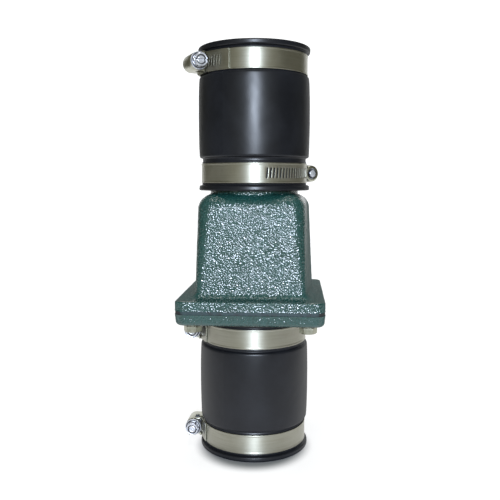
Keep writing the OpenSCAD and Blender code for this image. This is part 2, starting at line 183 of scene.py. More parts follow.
# %% Camera
cam_data = bpy.data.cameras.new("camera")
cam_data.lens = 45.81
cam_data.sensor_width = 36.0
cam_data.clip_start = 0.01
camera = placed("camera", cam_data)
camera.location = (0.02846, -0.44107, 0.18633)
camera.rotation_euler = (math.radians(83.76), 0.0, math.radians(4.07))
bpy.context.scene.camera = camera
bpy.context.scene.view_settings.view_transform = "Standard"

# %% [markdown]
# ## Finishes
# A material is a small calculation. To read it as one, a class wraps a node's output socket, and its
# operators add Math nodes: `1 - mask * 0.5` builds two of them. Every other kind of node comes from `node`.

# %% A socket that can be added and multiplied


class Field:
    """A socket of a material's nodes. Sums and products of fields and numbers make new fields."""

    def __init__(self, tree, socket):
        self.tree, self.socket = tree, socket

    def node(self, kind, settings=(), inputs=(), out=0):
        """Add a node of any kind: its settings first, then a value or a link for each input.
        The output with the name or number out comes back as a field."""
        made = self.tree.nodes.new(kind)
        for key, value in dict(settings).items():
            setattr(made, key, value)
        for key, value in dict(inputs).items():
            if isinstance(value, Field):
                self.tree.links.new(value.socket, made.inputs[key])
            else:
                made.inputs[key].default_value = value
        return Field(self.tree, made.outputs[out])

    def maths(self, operation, a, b=0.0):
        """A Math node on two fields or numbers."""
        return self.node("ShaderNodeMath", {"operation": operation}, {0: a, 1: b})

    def __add__(self, other):
        return self.maths("ADD", self, other)

    def __sub__(self, other):
        return self.maths("SUBTRACT", self, other)

    def __rsub__(self, other):
        return self.maths("SUBTRACT", other, self)

    def __mul__(self, other):
        return self.maths("MULTIPLY", self, other)

    __radd__ = __add__
    __rmul__ = __mul__

    def size(self):
        """This field without its sign."""
        return self.maths("ABSOLUTE", self)

    def larger(self, other):
        """The larger of this field and another."""
        return self.maths("MAXIMUM", self, other)

    def between(self, low, high):
        """0 below low, 1 above high and a smooth step between them."""
        return self.node("ShaderNodeMapRange", {"interpolation_type": "SMOOTHSTEP"},
                         {"Value": self, "From Min": low, "From Max": high})

    def noise(self, scale, detail=2.0, rough=0.5, stretch=(1, 1, 1)):
        """Cloudy noise at this vector field, with scale in cells per metre along each stretched axis."""
        at = self
        if stretch != (1, 1, 1):
            at = self.node("ShaderNodeMapping", {}, {"Vector": self, "Scale": stretch})
        inputs = {"Vector": at, "Scale": scale, "Detail": detail, "Roughness": rough}
        return self.node("ShaderNodeTexNoise", {}, inputs)

    def axis(self, number):
        """One coordinate of this vector field."""
        return self.node("ShaderNodeSeparateXYZ", {}, {0: self}, out=number)

    def grains(self, scale, smoothness):
        """Distance from the nearest grain's middle, for a pebbled skin, with scale in grains per metre."""
        return self.node("ShaderNodeTexVoronoi", {"feature": "SMOOTH_F1"},
                         {"Vector": self, "Scale": scale, "Smoothness": smoothness})

    def mix(self, low, high):
        """A colour from low to high as this field goes from 0 to 1. Each end is a colour or a field."""
        ends = {k: (c if isinstance(c, Field) else (*c, 1)) for k, c in ((6, low), (7, high))}
        return self.node("ShaderNodeMix", {"data_type": "RGBA"}, {0: self, **ends}, out=2)


def finish(name, constants, lay=False):
    """A new material with those constants on its shader; returns it, its shader and its coordinates.
    They are Object coordinates, or the lengths along and across the surface that a mesh keeps as lay."""
    material = bpy.data.materials.new(name)
    material.use_nodes = True
    shader = material.node_tree.nodes["Principled BSDF"]
    for key, value in constants.items():
        shader.inputs[key].default_value = (*value, 1) if isinstance(value, tuple) else value
    if lay:
        surface = material.node_tree.nodes.new("ShaderNodeUVMap")
        surface.uv_map = "lay"
        return material, shader, Field(material.node_tree, surface.outputs["UV"])
    place = material.node_tree.nodes.new("ShaderNodeTexCoord").outputs["Object"]
    return material, shader, Field(material.node_tree, place)


def feed(shader, key, field):
    """Link a field to one of a shader's inputs."""
    field.tree.links.new(field.socket, shader.inputs[key])


def bump(field, depth_mm):
    """Turn a height field, 0 to 1 over that depth, into a shading normal."""
    return field.node("ShaderNodeBump", {}, {"Height": field, "Distance": depth_mm * MM, "Strength": 1.0})


# %% [markdown]
# ### Enamelled casting
# The iron was poured in sand, so its skin is pebbled, and a thick glossy enamel lies over it. Each pebble
# catches the lamp by itself, which is why the photograph shows a field of white specks on the flat front.
# Low pebbles and waves are in the mesh; sharper pebbles, about 1 mm wide, are a bump from two patterns. The
# enamel is thinner on crests, where it looks paler, and pools in the pits, where it looks darker. The spray
# came from front and back, so it lies thick and glossy there, and dry and dull on the left and right.

# %% Enamelled casting


def enamel(name, depth_mm, gloss):
    """Dark green enamel over a pebbled casting; depth_mm is the depth of the fine pebbles.
    It is dull where the casting is wider than the chamber's front, except on the flange's own front
    and back."""
    material, shader, at = finish(name, {"Specular IOR Level": 1.0})
    across, depth = (at.axis(k).size() for k in (0, 1))
    dry = across.between(top_half[0] * MM, (top_half[0] + 3) * MM)
    dry = dry * (1 - depth.between((flange_half[1] - 2.5) * MM, (flange_half[1] - 1) * MM))
    coarse = at.noise(1050, 0)
    fine = at.grains(950, 0.6)
    cloudy = at.noise(70, 3)
    height = coarse * 1.1 - fine * 0.6 + 0.4
    tone = (height * 0.6 + cloudy * 0.5).between(0.35, 0.95)
    feed(shader, "Base Color", tone.mix((0.006, 0.045, 0.039), (0.018, 0.080, 0.074)))
    feed(shader, "Roughness", cloudy * 0.10 + dry * 0.5 + gloss)
    feed(shader, "Normal", bump(height, depth_mm))
    return material


# %% [markdown]
# ### Rubber
# The sleeves are moulded and smooth, with the faint clouds of a released moulding; the flap and gasket are
# cut from sheet and duller. Both are close to black, so most of what one sees is the soft reflection.

# %% Rubber


def rubber(name, dark, light, roughness, grain_mm, sprayed_to=None):
    """Black rubber: nearly even, with a grey bloom in clouds and a very fine dull grain, which looks duller
    still at a slant. A sheet that ends at the half sizes sprayed_to has caught enamel along that edge."""
    material, shader, at = finish(name, {"Specular IOR Level": 0.36})
    cloudy = at.noise(45, 4, 0.6)
    grain = at.noise(1500, 2)
    tone = cloudy.between(0.35, 0.75).mix(dark, light)
    if sprayed_to is not None:
        past_x, past_y = (at.axis(k).size() - (sprayed_to[k] - 0.5) * MM for k in (0, 1))
        spray = past_x.larger(past_y).between(0, 0.3 * MM) * at.noise(300, 3).between(0.2, 0.55)
        tone = spray.mix(tone, (0.030, 0.055, 0.060))
    feed(shader, "Base Color", tone)
    slant = at.node("ShaderNodeLayerWeight", {}, {"Blend": 0.25}, out="Facing")
    feed(shader, "Roughness", cloudy * 0.14 + slant * 0.3 + (roughness - 0.07))
    feed(shader, "Normal", bump(grain + at.noise(260, 2) * 1.5, grain_mm))
    return material


# %% [markdown]
# ### Steel
# Rolled strip carries fine lines along its length, which smear a lamp into an upright streak. Most of them
# are finer than a picture can show, so the shader's own anisotropy smears the light, turned by a quarter so
# that it acts across the lines. The coarser lines run with the strip, so this finish reads the lengths that
# the strip's mesh keeps. Turned and pressed pieces take an even grain or rings instead.

# %% Steel
DIE_STEP = 1.9


def rolled_steel(name, dark, light):
    """Stainless strip: lines along it about 0.2 mm apart, a few deeper scratches and a cloudy tint."""
    constants = {"Metallic": 1.0, "Anisotropic": 0.7, "Anisotropic Rotation": 0.25}
    material, shader, at = finish(name, constants, lay=True)
    lines = at.noise(4500, 2, 0.6, (0.01, 1, 1))
    streaks = at.noise(1500, 2, 0.5, (0.02, 1, 1))
    scratches = at.noise(2600, 1, 0.5, (0.02, 1, 1)).between(0.72, 0.77)
    cloudy = at.noise(90, 3)
    feed(shader, "Base Color", (streaks * 0.5 + cloudy * 0.5).between(0.3, 0.7).mix(dark, light))
    feed(shader, "Roughness", lines.between(0.4, 0.6) * 0.06 + cloudy * 0.06 + 0.39)
    feed(shader, "Normal", bump(lines + scratches * 0.3, 0.012))
    return material


def worked_steel(name, dark, light, roughness, depth_mm=0.01, scale=900):
    """Pressed, turned or plated steel: a fine even grain, a cloudy tone and a few dull patches."""
    material, shader, at = finish(name, {"Metallic": 1.0})
    grain = at.noise(scale, 3, 0.6)
    cloudy = at.noise(160, 3)
    feed(shader, "Base Color", (grain * 0.4 + cloudy * 0.6).between(0.3, 0.7).mix(dark, light))
    feed(shader, "Roughness", grain * 0.12 + cloudy * 0.16 + (roughness - 0.14))
    feed(shader, "Normal", bump(grain, depth_mm))
    return material


def turned_steel_with_painted_rings(name, dark, light):
    """A turned or cold-headed screw: rings round its axis, which is where both kept lengths are 0.
    Broad rings are the steps of the heading die, round a plain middle, and the fine ones are tool marks.
    The broad rings and the middle also carry painted shade and painted highlight: near black in the
    steps' grooves, pale on their crests and in the plain middle."""
    material, shader, at = finish(name, {"Metallic": 0.55}, lay=True)
    radius = at.node("ShaderNodeVectorMath", {"operation": "LENGTH"}, {0: at}, out="Value")
    marks = at.node("ShaderNodeTexNoise", {"noise_dimensions": "1D"},
                    {"W": radius, "Scale": 2300, "Detail": 2})
    # steps are the heading die's rings, used for the bump, and also painted shade in the grooves and painted
    # highlight on the crests and the plain middle.
    steps = radius.maths("COSINE", radius * (2 * math.pi / (DIE_STEP * MM))) * 0.5 + 0.5
    steps = steps.larger(0.8 - radius.between(1.8 * MM, 2.4 * MM))
    cloudy = at.noise(300, 3)
    # Painted shade and painted highlight: the grooves are coloured near black, the crests and the middle
    # pale.
    tone = (steps * 0.6 + marks * 0.4 + cloudy * 0.3).between(0.35, 0.8)
    feed(shader, "Base Color", tone.mix(dark, light))
    feed(shader, "Roughness", marks * 0.12 + cloudy * 0.14 + 0.16)
    feed(shader, "Normal", bump(steps * 2 + marks + cloudy * 0.2, 0.12))
    return material


# %% The finishes by the record's slots
SHEET_TONES = (0.014, 0.014, 0.015), (0.030, 0.030, 0.031)
MOULDED_TONES = (0.006, 0.0068, 0.0098), (0.011, 0.0122, 0.0165)
finishes = {
    "painted_casting": enamel("painted_casting", 0.35, 0.15),
    "moulded_rubber": rubber("moulded_rubber", *MOULDED_TONES, 0.34, 0.012),
    "sheet_rubber": rubber("sheet_rubber", *SHEET_TONES, 0.6, 0.05),
    "bare_iron": worked_steel("bare_iron", (0.10, 0.09, 0.085), (0.22, 0.21, 0.20), 0.6, 0.06, 700),
    "plated_steel": worked_steel("plated_steel", (0.27, 0.27, 0.21), (0.46, 0.46, 0.38), 0.36),
    "stainless_band": rolled_steel("stainless_band", (0.36, 0.355, 0.295), (0.43, 0.425, 0.37)),
    "stainless_housing": worked_steel("stainless_housing", (0.34, 0.34, 0.28), (0.50, 0.50, 0.43), 0.32),
    "clamp_screw": turned_steel_with_painted_rings("clamp_screw", (0.04, 0.04, 0.045), (0.70, 0.71, 0.76)),
}
slots = {row["node"]: row["material_slot"] for row in frame["record"]["subparts"]}
finish_of = {node: finishes[slot] for node, slot in slots.items()}
finish_of["inlet_flange"] = enamel("smoother_casting", 0.24, 0.16)
finish_of["gasket"] = rubber("sprayed_sheet", *SHEET_TONES, 0.5, 0.05, gasket_high)
for node, obj in frame["nodes"].items():
    obj.data.materials.clear()
    obj.data.materials.append(finish_of[node])
print("finishes:", ", ".join(finishes))

# %% [markdown]
# A new piece stands for one construction node, rides on the same body and takes its finish from the same
# slot of the record. One function says all of that.

# %% Standing in for a node
bodies = frame["record"]["behaviour"]["bodies"]
body_of_node = {node: body for body, nodes in bodies.items() for node in nodes}


def stand_for(piece, node):
    """The piece takes the node's place, its finish and its body."""
    piece.data.materials.append(finish_of[node])
    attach(piece, body_of_node[node])
    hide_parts(node)
    print(piece.name, len(piece.data.polygons), "faces")
    return piece


# %% [markdown]
# ## The upper casting
# Seen from above, the chamber is a rectangle with round corners whose left and right sides bulge out to the
# middle, where the two halves of the mould met. The distance from the axis to that outline is known for
# every direction: a straight side, a leaning side or a corner's arc. Rows of such outlines, each at its own
# height and with its own half sizes, make the whole skin, inside and out.

# %% Plan outline of the chamber


def plan_radius(turn, half_x, half_y, corner, belly):
    """Distance from the axis to a rectangle with round corners in the direction turn.
    Its left and right sides lean from half_x at the corners out to half_x + belly at mid depth:
    r = (half_x + belly) / (|cos| + belly / half_y * |sin|). In front r = half_y / |sin|. On a corner's arc
    round p it is d + sqrt(d^2 - |p|^2 + corner^2), where d is the share of p in that direction."""
    c, s = np.abs(np.cos(turn)), np.abs(np.sin(turn))
    cx, cy = half_x - corner, half_y - corner
    lean = belly / np.maximum(half_y, 1e-6)
    soft = np.sqrt(s * s + 0.05 ** 2) - 0.05
    side = (half_x + belly) / (c + lean * soft)
    front = half_y / np.maximum(s, 1e-6)
    wide_x = cx + belly * np.clip(1 - cy / np.maximum(half_y, 1e-6), 0, 1)
    dot = wide_x * c + cy * s
    arc = dot + np.sqrt(np.maximum(dot * dot - wide_x ** 2 - cy ** 2 + corner ** 2, 0))
    return np.where(side * s < cy, side, np.where(front * c < wide_x, front, arc))


def rows_between(first, last, steps):
    """Rows of (height, half x, half y, corner, belly) that go evenly from first up to, but without, last."""
    t = np.arange(steps)[:, None] / steps
    return np.array(first) * (1 - t) + np.array(last) * t


# %% [markdown]
# The skin is walked once round in a section: down the outside from the spigot's end to the flange's edge,
# under the flange, up the inside of the chamber and back up the port. The hollow round between the chamber
# and its flange is an arc of 4.5 mm, and the flange's upper edge is rounded by 1.2 mm, as it left the sand.

# %% Walk round the casting's section
COLUMNS = 520
FOOT_FILLET = 4.5
EDGE = 1.2


def circle_row(z, r):
    """A round outline, as a square whose corners are as large as its half size."""
    return (z, r, r, r - 1e-3, 0.0)


def arc_rows(steps, row):
    """One row for each angle from 90 degrees down to, but without, 0, from a function of the angle."""
    return np.array([row(a) for a in np.linspace(math.pi / 2, 0, steps, endpoint=False)])


def shoulder_row(a, wall=0.0):
    """The shoulder's ball cut at angle a above its middle: the higher the cut, the smaller the outline."""
    r = SHOULDER_R - wall
    inset = SHOULDER_R - r * math.cos(a)
    return (shoulder_z + r * math.sin(a), top_half[0] - inset, top_half[1] - inset,
            max(r * math.cos(a), 0.05), TOP_BELLY)


def fillet_row(a):
    """The hollow round at the foot: it leaves the wall upright and runs out flat on the flange."""
    out = FOOT_FILLET * (1 - math.sin(a))
    return (foot_z + FOOT_FILLET * (1 - math.cos(a)), *(foot_half + out), FOOT_R + out, FOOT_BELLY)


def edge_row(a):
    """The flange's rounded upper edge."""
    inset = EDGE * (1 - math.cos(a))
    return (foot_z - EDGE + EDGE * math.sin(a), *(flange_half - inset), FLANGE_R - inset, 0.0)


spigot_end = body_high[2]
wall_top = shoulder_row(0)
wall_foot = (foot_z + FOOT_FILLET, *foot_half, FOOT_R, FOOT_BELLY)
fillet_foot = (foot_z, *(foot_half + FOOT_FILLET), FOOT_R + FOOT_FILLET, FOOT_BELLY)
edge_top = (foot_z, *(flange_half - EDGE), FLANGE_R - EDGE, 0.0)
edge_foot = (foot_z - EDGE, *flange_half, FLANGE_R, 0.0)
flange_under = (body_low[2], *flange_half, FLANGE_R, 0.0)
inner_foot = (body_low[2], *(foot_half - CHAMBER_WALL), FOOT_R, FOOT_BELLY)
inner_top = shoulder_row(0, CHAMBER_WALL)
ceiling = CHAMBER_TOP - CHAMBER_WALL
outside = [rows_between(circle_row(spigot_end, PIPE_R), circle_row(CHAMBER_TOP + 0.3, PIPE_R), 3),
           rows_between(circle_row(CHAMBER_TOP + 0.3, PIPE_R), shoulder_row(math.pi / 2), 5),
           arc_rows(22, shoulder_row),
           rows_between(wall_top, wall_foot, 76),
           arc_rows(9, fillet_row),
           rows_between(fillet_foot, edge_top, 14),
           arc_rows(5, edge_row),
           rows_between(edge_foot, flange_under, 8)]
inside = [rows_between(flange_under, inner_foot, 3),
          rows_between(inner_foot, inner_top, 14),
          arc_rows(6, lambda a: shoulder_row(math.pi / 2 - a, CHAMBER_WALL)),
          rows_between(circle_row(ceiling, PORT_R + 1), circle_row(ceiling + 0.5, PORT_R), 2),
          rows_between(circle_row(ceiling + 0.5, PORT_R), circle_row(spigot_end, PORT_R), 5),
          rows_between(circle_row(spigot_end, PORT_R), circle_row(spigot_end, PIPE_R), 2)]
section = np.concatenate(outside + inside)
n_outside = sum(len(part) for part in outside)
print("casting section:", len(section), "rows,", n_outside, "of them outside")

# %% [markdown]
# The pebbled skin is pushed into the mesh only on the painted outside. The push goes inward, so the casting
# never grows past its construction size.

# %% The upper casting as one closed skin
SEAM_W = 0.55
SEAM_H = 0.3
PEBBLES = (0.13, 1.5), (0.08, 0.95), (0.25, 9.0)


def pebbled(points, normals, weight):
    """Push points against their outward normals by up to 0.28 mm: fine pebbles on gentle waves.
    Each of PEBBLES is a height and a size."""
    pebbles = sum(height * wander(points, size) for height, size in PEBBLES)
    return points - normals * np.clip(weight * (0.14 - 0.3 * pebbles), 0, None)[..., None]


def upper_casting():
    """The section's rows carried round, with r from plan_radius. Where the mould's halves met, both
    sides have a ridge of SEAM_H * exp(-(y / SEAM_W)^2)."""
    turn = angles(COLUMNS)
    z, half_x, half_y, corner, belly = (section[:, k, None] for k in range(5))
    r = plan_radius(turn, half_x, half_y, corner, belly)
    outer = (np.arange(len(section)) < n_outside)[:, None]
    r = np.where(outer & (z > shoulder_z), np.maximum(r, PIPE_R), r)
    r = np.where(~outer & (z > shoulder_z), np.maximum(r, PORT_R), r)
    on_wall = outer & (z > foot_z + 1) & (z < CHAMBER_TOP - 2)
    r = r + SEAM_H * on_wall * np.exp(-(r * np.sin(turn) / SEAM_W) ** 2)
    points = carried_round(r, z, turn)
    painted = np.clip((r - PIPE_R) / 2.0, 0, 1) * outer * (z > body_low[2] + 0.3)
    points = pebbled(points, -grid_normals(points), painted)
    faces = grid_faces(*r.shape, closed_rows=True, closed_columns=True)[:, ::-1]
    return make_object("upper_casting", points.reshape(-1, 3), faces, sharp=50)


stand_for(upper_casting(), "valve_body")

# %% [markdown]
# ## The inlet flange
# The lower casting is a plate on a pipe. The same outlines serve: circles along the spigot, then the
# plate's rounded rectangle, whose lower edge is a round of 3 mm and whose sides lean out to the joint.

# %% Inlet flange
FLANGE_ROUND = 3.0
FLANGE_DRAFT = 0.4
PLATE_COLUMNS = 480


def lower_flange():
    """Spigot and plate from below, then the joint face and the bore, carried round the same way."""
    under = box_mm("inlet_sleeve")[1][2]
    start = flange_low[2]
    low_half = flange_half - FLANGE_DRAFT

    def round_row(a):
        """The plate's lower edge, from flat underneath to upright."""
        inset = FLANGE_ROUND * (1 - math.cos(a))
        corner = max(FLANGE_R - inset, 0.5)
        return (under + FLANGE_ROUND * (1 - math.sin(a)), *(low_half - inset), corner, 0.0)

    joint_face = (flange_high[2], *flange_half, FLANGE_R, 0.0)
    skin = [rows_between(circle_row(start, PIPE_R), circle_row(under, PIPE_R), 4),
            rows_between(circle_row(under, PIPE_R), (under, *(low_half - FLANGE_ROUND), 3.0, 0.0), 16),
            arc_rows(8, round_row),
            rows_between((under + FLANGE_ROUND, *low_half, FLANGE_R, 0.0), joint_face, 12)]
    hidden = [rows_between(joint_face, circle_row(flange_high[2], PORT_R), 3),
              rows_between(circle_row(flange_high[2], PORT_R), circle_row(start, PORT_R), 6),
              rows_between(circle_row(start, PORT_R), circle_row(start, PIPE_R), 2)]
    rows = np.concatenate(skin + hidden)
    turn = angles(PLATE_COLUMNS)
    z, half_x, half_y, corner, belly = (rows[:, k, None] for k in range(5))
    r = plan_radius(turn, half_x, half_y, corner, belly)
    points = carried_round(r, z, turn)
    painted = (np.arange(len(rows)) < sum(map(len, skin)))[:, None] * np.clip((r - PIPE_R - 6) / 4, 0, 1)
    points = pebbled(points, grid_normals(points), painted * 0.7 * (z < flange_high[2] - 0.3))
    faces = grid_faces(*r.shape, closed_rows=True, closed_columns=True)
    return make_object("lower_flange", points.reshape(-1, 3), faces, sharp=50)


stand_for(lower_flange(), "inlet_flange")

# %% [markdown]
# ## Rubber sleeves
# A sleeve is a turned shape: an outline of radius and height carried once round the axis. It has a bead at
# each end, a seat for each band and a thick barrel between. Where a band is drawn tight, the rubber swells
# a little beside it and the barrel's end is pulled in by 0.7 mm, less and less towards the middle. A fine
# upright line is left where the two halves of the mould met.

# %% Where the clamps are
clamps = {}
for joint in frame["record"]["behaviour"]["joints"]:
    if joint.get("continuous"):
        px, py, pz = (value / MM for value in joint["pos_m"])
        clamps[joint["child"].removesuffix("_screw")] = (math.atan2(py, px), pz)
        SCREW_X = math.hypot(px, py)
print("clamps:", {name: (round(math.degrees(az)), round(z, 1)) for name, (az, z) in clamps.items()})

# %% Rubber sleeves
BEAD_R, BEAD_L = 37.8, 3.4
SEAT_R, BARREL_R = 35.35, 38.0
BAND_W, BAND_T = 12.7, 0.65
SEAT_L = 17.05
STOP_R, STOP_W = 28.5, 3.0
BARREL_SHIFT = {"outlet": 1.3, "inlet": 0.0}
SWELL_H, SWELL_AT, SWELL_W = 0.7, 0.75, 0.45
DRAWN_IN, DRAWN_OVER = 0.7, 9
MOULD_LINE = math.radians(241.8)


def arc_points(cx, cy, r, first, last, steps):
    """Points on an arc round (cx, cy), from the angle first to the angle last, in degrees."""
    a = np.radians(np.linspace(first, last, steps))
    return np.stack([cx + r * np.cos(a), cy + r * np.sin(a)], -1)


def resampled(outline, step):
    """The same outline with its points one step apart, and its corners eased over two steps."""
    outline = np.asarray(outline, float)
    run = np.concatenate([[0], np.cumsum(np.linalg.norm(np.diff(outline, axis=0), axis=1))])
    at = np.linspace(0, run[-1], int(run[-1] / step) + 1)
    even = np.stack([np.interp(at, run, outline[:, k]) for k in range(outline.shape[1])], -1)
    even[1:-1] = (even[:-2] + 2 * even[1:-1] + even[2:]) / 4
    return even


def sleeve_side(start):
    """Outline from the bead's end face up to the middle of the barrel, which starts at that height."""
    return np.concatenate([[(BORE_R, 0.0), (BEAD_R - 2.0, 0.0)],
                           arc_points(BEAD_R - 0.8, 0.8, 0.8, -90, 0, 7),
                           arc_points(BEAD_R - 0.8, BEAD_L - 0.8, 0.8, 0, 70, 6),
                           [(SEAT_R + 0.5, BEAD_L + 0.2), (SEAT_R, BEAD_L + 0.8), (SEAT_R, start - 0.7),
                            (SEAT_R + 0.4, start - 0.1)],
                           arc_points(BARREL_R - 1.2, start + 1.2, 1.2, -70, 0, 8)])


def sleeve(side):
    """The outline carried round the axis. At a distance d outside a band's edge it swells by
    SWELL_H * exp(-((d - SWELL_AT) / SWELL_W)^2), except under the clamp's housing."""
    low, high = box_mm(side + "_sleeve")
    length = high[2] - low[2]
    start = BEAD_L + SEAT_L
    lower = sleeve_side(start + BARREL_SHIFT[side])
    upper = sleeve_side(start - BARREL_SHIFT[side]) * (1, -1) + (0, length)
    outline = resampled(np.concatenate([lower, upper[::-1]]), 0.42)
    stop = (length - STOP_W) / 2
    bore = np.array([(BORE_R, stop + STOP_W), (STOP_R, stop + STOP_W - 0.5),
                     (STOP_R, stop + 0.5), (BORE_R, stop)])
    turn = angles(240)
    r, z = (outline[:, k, None] + np.zeros(len(turn)) for k in range(2))
    skin = (r > SEAT_R - 0.5) * np.clip(np.minimum(z - 1, length - 1 - z), 0, 1)
    for name, (azimuth, middle_z) in clamps.items():
        if name.startswith(side):
            beside = np.abs(z + low[2] - middle_z) - BAND_W / 2
            apart = np.abs((turn - azimuth + math.pi) % (2 * math.pi) - math.pi)
            clear = np.clip((apart - 0.22) / 0.1, 0, 1)
            swell = SWELL_H * np.exp(-((beside - SWELL_AT) / SWELL_W) ** 2) * (beside > 0.1)
            r = np.where(r < SEAT_R + 0.7, r + swell * clear, r)
            skin = skin * ~((beside < 0.2) & (r < SEAT_R + 0.1))
    points = carried_round(r, z + low[2], turn)
    waves = 0.09 * wander(points, 14.0) + 0.04 * wander(points, 5.0)
    off_line = (turn - MOULD_LINE + math.pi / 2) % math.pi - math.pi / 2
    line = 0.10 * np.exp(-(off_line * BARREL_R / 0.35) ** 2) * (r > SEAT_R + 0.6)
    from_end = np.minimum(z - start, length - start - z)
    drawn_in = DRAWN_IN * np.exp(-np.clip(from_end, 0, None) / DRAWN_OVER) * (from_end > -2)
    on_barrel = np.clip((r - SEAT_R) / (BARREL_R - SEAT_R), 0, 1)
    r = r + skin * (waves - 0.12 + line) - drawn_in * on_barrel
    inner = np.broadcast_to(bore[:, None, :], (len(bore), len(turn), 2))
    r, z = np.concatenate([r, inner[..., 0]]), np.concatenate([z, inner[..., 1]])
    points = carried_round(r, z + low[2], turn)
    faces = grid_faces(*r.shape, closed_rows=True, closed_columns=True)
    return make_object(side + "_rubber_sleeve", points.reshape(-1, 3), faces, sharp=55)


for side in ("outlet", "inlet"):
    stand_for(sleeve(side), side + "_sleeve")

# %% [markdown]
# ## Clamp bands
# Each band is one strip of rolled steel. It starts under the screw's housing, runs once round the sleeve,
# rises on a straight ramp, passes flat under the worm and comes down on itself as the tail. That path is
# worked out first, as a line seen along the valve's axis. A grid then carries the strip's width along it,
# with two columns for every slot and the faces between them left out, and Solidify gives the thickness.

# %% The strip's path round the sleeve
FIT = 0.1
HOUSING_T = 0.9
HOUSING_L = 16.2
BAND_MID = SEAT_R + 0.05 + BAND_T / 2
STRIP_X = BAND_MID + BAND_T / 2 + 2 * FIT + HOUSING_T + BAND_T / 2
TAIL_MID = BAND_MID + BAND_T + 0.2
STRIP_TIP = HOUSING_L / 2 + 0.5
STRIP_HEAD = HOUSING_L / 2 - 2.6
FIXED_END = 10
TAIL_AZ = {"outlet": 40, "inlet": 29}
SLOT_PITCH, SLOT_W, SLOT_H, SLOT_LEAN, SLOT_RUN = 2.35, 1.15, 6.8, 5, 107
SLOT_TAPER, CROWN_H = 0.32, 0.07


def landing(r, y):
    """Azimuth in degrees at which a straight ramp from the flat's end at y touches the round of radius r."""
    return math.degrees(math.atan2(y, STRIP_X) + math.acos(r / math.hypot(STRIP_X, y)))


def strip_path(tail_az):
    """Points 0.25 mm apart along the strip's middle line, with its two bends eased."""
    rise, fall = 360 - landing(BAND_MID, STRIP_TIP), landing(TAIL_MID, STRIP_HEAD)
    line = np.concatenate([arc_points(0, 0, BAND_MID, -FIXED_END, rise, 700),
                           [(STRIP_X, -STRIP_TIP), (STRIP_X, STRIP_HEAD)],
                           arc_points(0, 0, TAIL_MID, fall, max(tail_az, fall + 1), 40)])
    for _ in range(3):
        line = resampled(line, 0.25)
    return line


# %% A slotted strip as a grid with holes
EDGE_FROM, EDGE_H = 5.35, 0.2
strip_rows = np.array([-6.35, -6.2, -5.75, -EDGE_FROM, -5.0, -4.2, -3.4, -3.0, -1.5, 0])
strip_rows = np.concatenate([strip_rows, -strip_rows[-2::-1]])


def slotted_strip(tail_az):
    """Points, faces and kept lengths of one strip: its path across, and slots as faces left out."""
    line = strip_path(tail_az)
    run = np.concatenate([[0], np.cumsum(np.linalg.norm(np.diff(line, axis=0), axis=1))])
    first = math.radians(360 - SLOT_RUN + FIXED_END) * BAND_MID
    count = int((run[-1] - 2.5 - first) / SLOT_PITCH)
    starts = first + SLOT_PITCH * np.arange(count)
    plain = np.linspace(0, first - 1.2, 150)
    slots_s = (starts[:, None] + np.array([0, SLOT_W, (SLOT_W + SLOT_PITCH) / 2])).ravel()
    s = np.concatenate([plain, slots_s, [run[-1] - 1.2, run[-1] - 0.25, run[-1]]])
    n_plain = len(plain)
    # Each slot leans and narrows at its two ends, and the land beside it is crowned by the press.
    # A column's kind is 0 where a slot begins, 1 where it ends and 2 on the land after it.
    w = strip_rows[:, None]
    in_slots = (np.arange(len(s)) >= n_plain) & (np.arange(len(s)) < n_plain + len(slots_s))
    kind = np.where(in_slots, (np.arange(len(s)) - n_plain) % 3, 2)
    lean = np.clip(w, -SLOT_H / 2, SLOT_H / 2) * math.tan(math.radians(SLOT_LEAN))
    at_end = (np.abs(np.abs(w) - SLOT_H / 2) < 0.01) * SLOT_TAPER
    shift = in_slots * lean + (kind == 0) * at_end - (kind == 1) * at_end
    along = np.clip(s[None, :] + shift * (np.abs(w) < 4.5), 0, run[-1])
    xy = np.stack([np.interp(along, run, line[:, k]) for k in range(2)], -1)
    ahead = np.stack([np.interp(np.minimum(along + 0.2, run[-1]), run, line[:, k]) for k in range(2)], -1)
    behind = np.stack([np.interp(np.maximum(along - 0.2, 0), run, line[:, k]) for k in range(2)], -1)
    step = ahead - behind
    step = step / np.linalg.norm(step, axis=-1, keepdims=True)
    out = np.stack([step[..., 1], -step[..., 0]], -1)
    ends = np.clip((along - math.radians(FIXED_END + tail_az + 4) * BAND_MID) / 3, 0, 1)
    ends = ends * np.clip((math.radians(325 + FIXED_END) * BAND_MID - along) / 3, 0, 1)
    rolled = EDGE_H * ends * np.clip((np.abs(w) - EDGE_FROM) / 0.4, 0, 1) * (1 - 0.5 * (np.abs(w) > 6.3))
    crown = CROWN_H * in_slots * (kind == 2) * (np.abs(w) < 3.2)
    xy = xy + out * (rolled + crown)[..., None]
    points = np.concatenate([xy, np.broadcast_to(w, along.shape)[..., None]], -1)
    faces = grid_faces(len(strip_rows), len(s)).reshape(len(strip_rows) - 1, len(s) - 1, 4)
    opened = in_slots[:-1] & (kind[:-1] == 0)
    middle_row = (strip_rows[1:] + strip_rows[:-1]) / 2
    keep = ~(opened[None, :] & (np.abs(middle_row) < SLOT_H / 2)[:, None])
    lay = np.stack([along, np.broadcast_to(w, along.shape)], -1).reshape(-1, 2)
    return points.reshape(-1, 3), faces[keep][:, ::-1], lay


def put_at(points, clamp):
    """Turn points from a clamp's own frame, whose screw is on +X, to the clamp's place on the valve."""
    azimuth, z = clamps[clamp]
    c, s = math.cos(azimuth), math.sin(azimuth)
    x, y = points[:, 0] * c - points[:, 1] * s, points[:, 0] * s + points[:, 1] * c
    return np.stack([x, y, points[:, 2] + z], -1)


def ease_edges(made, width, segments, angle):
    """A narrow bevel along every edge that turns by more than that angle, in degrees."""
    eased = made.modifiers.new("eased_edges", "BEVEL")
    eased.width = width * MM
    eased.segments = segments
    eased.limit_method = "ANGLE"
    eased.angle_limit = math.radians(angle)


